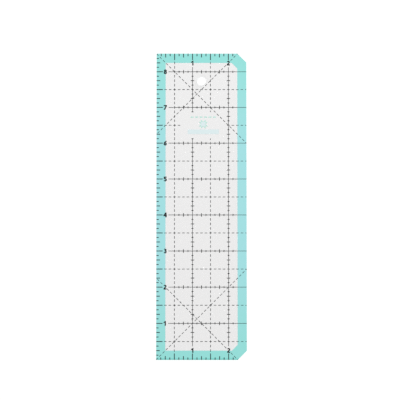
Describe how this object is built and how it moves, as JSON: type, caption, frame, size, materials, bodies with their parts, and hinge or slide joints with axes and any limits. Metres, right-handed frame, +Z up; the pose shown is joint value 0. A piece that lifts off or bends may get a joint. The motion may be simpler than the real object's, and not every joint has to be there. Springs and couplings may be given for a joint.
{
  "type": "quilting ruler",
  "caption": "Clear acrylic quilting ruler with a mint border, printed inch grid, edge ticks, dashed 45 degree lines, clipped corners and a hang hole.",
  "frame": {"origin": "middle of the surface that the ruler lies on, under the middle of its outline", "axes": "+X across the ruler towards the clipped corners, +Y along it from the zero end to the hang hole, +Z up through its thickness"},
  "size_m": [0.0636, 0.216, 0.0031],
  "materials": {
    "acrylic": "clear cast acrylic with polished edges",
    "band_ink": "mint printing ink, seen through the acrylic",
    "marking_ink": "black printing ink, seen through the acrylic",
    "label_mint_ink": "pale mint printing ink",
    "label_blue_ink": "pale blue printing ink"
  },
  "bodies": {
    "root": {"acrylic_blank": "acrylic", "border_left": "band_ink", "border_right": "band_ink", "border_top": "band_ink", "border_bottom": "band_ink", "inch_lines_across": "marking_ink", "inch_lines_along": "marking_ink", "half_inch_lines_across": "marking_ink", "half_inch_lines_along": "marking_ink", "angle_lines_top": "marking_ink", "angle_lines_bottom": "marking_ink", "left_edge_ticks": "marking_ink", "top_edge_ticks": "marking_ink", "bottom_edge_ticks": "marking_ink", "side_numeral_1": "marking_ink", "side_numeral_2": "marking_ink", "side_numeral_3": "marking_ink", "side_numeral_4": "marking_ink", "side_numeral_5": "marking_ink", "side_numeral_6": "marking_ink", "side_numeral_7": "marking_ink", "side_numeral_8": "marking_ink", "top_numeral_1": "marking_ink", "top_numeral_2": "marking_ink", "bottom_numeral_1": "marking_ink", "bottom_numeral_2": "marking_ink", "label_star_points": "label_mint_ink", "label_stitches": "label_mint_ink", "label_star_centre": "label_blue_ink", "label_bar": "label_blue_ink"}
  },
  "joints": []
}
